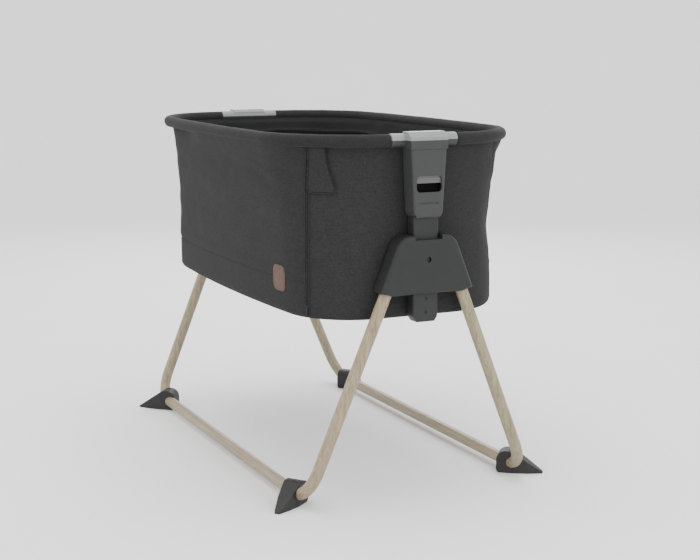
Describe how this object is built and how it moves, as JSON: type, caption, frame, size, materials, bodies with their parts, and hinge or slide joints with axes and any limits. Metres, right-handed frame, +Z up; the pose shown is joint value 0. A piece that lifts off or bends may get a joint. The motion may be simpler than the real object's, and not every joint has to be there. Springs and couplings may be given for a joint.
{
  "type": "bassinet on stand",
  "caption": "Oval fabric basket hung from a tubular rim that slides on two upright posts, each held by a bell-shaped hub over a folding A-frame of bent floor-bar legs.",
  "frame": {"origin": "on the floor, below the middle of the basket", "axes": "+Z up, Y along the basket's length with the front end at -Y, X across its width"},
  "size_m": [0.6062, 0.972, 0.721],
  "materials": {
    "post_grey": "satin moulded plastic",
    "hub_grey": "fine textured moulded plastic",
    "sleeve_grey": "fine textured moulded plastic",
    "cap_grey": "satin moulded plastic",
    "lever_grey": "satin moulded plastic",
    "dark_plastic": "matte moulded plastic",
    "foot_grey": "matte moulded plastic",
    "steel": "zinc plated",
    "steel_tube": "painted tube",
    "wood_look_tube": "satin wood-look print",
    "fabric_charcoal": "woven, melange",
    "fabric_rim": "woven, padded",
    "fabric_liner": "soft knit",
    "mattress_cover": "quilted knit",
    "zip_tape": "woven tape with coil",
    "board": "stiff board",
    "tan_leather": "smooth leather"
  },
  "bodies": {
    "stand": {"front_post": "post_grey", "front_hub_cover": "hub_grey", "front_hub_back": "hub_grey", "front_leg_pins": "steel", "front_hub_screw": "steel", "front_post_screws": "steel", "rear_post": "post_grey", "rear_hub_cover": "hub_grey", "rear_hub_back": "hub_grey", "rear_leg_pins": "steel", "rear_hub_screw": "steel", "rear_post_screws": "steel"},
    "left_legs": {"left_leg_tube": "wood_look_tube", "left_leg_plugs": "dark_plastic", "front_left_foot": "foot_grey", "rear_left_foot": "foot_grey"},
    "right_legs": {"right_leg_tube": "wood_look_tube", "right_leg_plugs": "dark_plastic", "front_right_foot": "foot_grey", "rear_right_foot": "foot_grey"},
    "basket": {"front_sleeve_cover": "sleeve_grey", "front_sleeve_back": "sleeve_grey", "front_rim_clamp": "sleeve_grey", "front_clamp_cap": "cap_grey", "front_lever_spring": "steel", "rear_sleeve_cover": "sleeve_grey", "rear_sleeve_back": "sleeve_grey", "rear_rim_clamp": "sleeve_grey", "rear_clamp_cap": "cap_grey", "rear_lever_spring": "steel", "left_rim_tube": "steel_tube", "left_rim_cover": "fabric_rim", "right_rim_tube": "steel_tube", "right_rim_cover": "fabric_rim", "left_wall": "fabric_charcoal", "right_wall": "fabric_charcoal", "front_wall": "fabric_charcoal", "rear_wall": "fabric_charcoal", "bottom_panel": "fabric_charcoal", "liner": "fabric_liner", "base_board": "board", "mattress": "mattress_cover", "left_front_zip": "zip_tape", "left_front_flap": "fabric_charcoal", "left_rear_zip": "zip_tape", "left_rear_flap": "fabric_charcoal", "leather_tag": "tan_leather"},
    "front_lever": {"front_release_lever": "lever_grey"},
    "rear_lever": {"rear_release_lever": "lever_grey"},
    "front_pin": {"front_lock_pin": "steel"},
    "rear_pin": {"rear_lock_pin": "steel"}
  },
  "joints": [
    {"name": "left_leg_fold", "type": "hinge", "parent": "stand", "child": "left_legs", "pos_m": [-0.052, 0, 0.487], "axis": [0, 1, 0], "range_deg": [-20, 0]},
    {"name": "right_leg_fold", "type": "hinge", "parent": "stand", "child": "right_legs", "pos_m": [0.052, 0, 0.487], "axis": [0, 1, 0], "range_deg": [0, 20]},
    {"name": "basket_height", "type": "slide", "parent": "stand", "child": "basket", "axis": [0, 0, 1], "range_m": [0, 0.1056]},
    {"name": "front_lever_lift", "type": "slide", "parent": "basket", "child": "front_lever", "axis": [0, 0, 1], "range_m": [0, 0.007], "stiffness_N_per_m": 400, "springref_m": -0.005, "deforming": ["front_lever_spring"]},
    {"name": "front_pin_draw", "type": "slide", "parent": "basket", "child": "front_pin", "axis": [0, -1, 0], "range_m": [0, 0.003]},
    {"name": "rear_lever_lift", "type": "slide", "parent": "basket", "child": "rear_lever", "axis": [0, 0, 1], "range_m": [0, 0.007], "stiffness_N_per_m": 400, "springref_m": -0.005, "deforming": ["rear_lever_spring"]},
    {"name": "rear_pin_draw", "type": "slide", "parent": "basket", "child": "rear_pin", "axis": [0, 1, 0], "range_m": [0, 0.003]}
  ],
  "couplings": [
    {"joint": "front_pin_draw", "follows": "front_lever_lift", "ratio": 0.42857},
    {"joint": "rear_pin_draw", "follows": "rear_lever_lift", "ratio": 0.42857}
  ]
}
